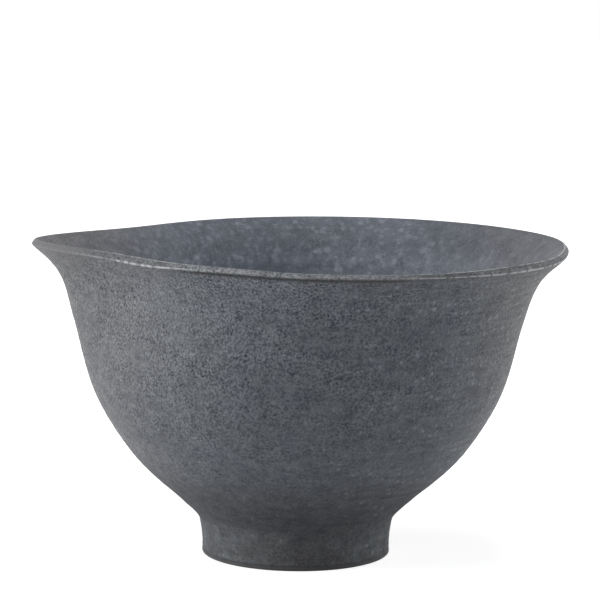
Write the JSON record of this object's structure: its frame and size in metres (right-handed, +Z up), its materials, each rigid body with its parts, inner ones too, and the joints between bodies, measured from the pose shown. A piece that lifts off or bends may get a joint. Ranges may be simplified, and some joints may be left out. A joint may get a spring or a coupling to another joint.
{
  "type": "tea bowl with pouring lip",
  "caption": "Flared stoneware tea bowl with a pinched pouring lip, a dark speckled glaze and a low luted foot ring.",
  "frame": {"origin": "centre of the foot ring's resting face, on the bowl's axis", "axes": "+Z up along the bowl's axis, -X towards the pouring lip, +Y to its right as seen from the bowl's middle"},
  "size_m": [0.1441, 0.1382, 0.0847],
  "materials": {
    "stoneware": "matte",
    "outside_glaze": "satin",
    "inside_glaze": "satin",
    "foot_glaze": "satin"
  },
  "bodies": {
    "root": {"bowl_body": "stoneware", "foot_ring": "stoneware", "luting_slip": "stoneware", "glaze_outside": "outside_glaze", "glaze_inside": "inside_glaze", "glaze_foot_well": "foot_glaze"}
  },
  "joints": []
}
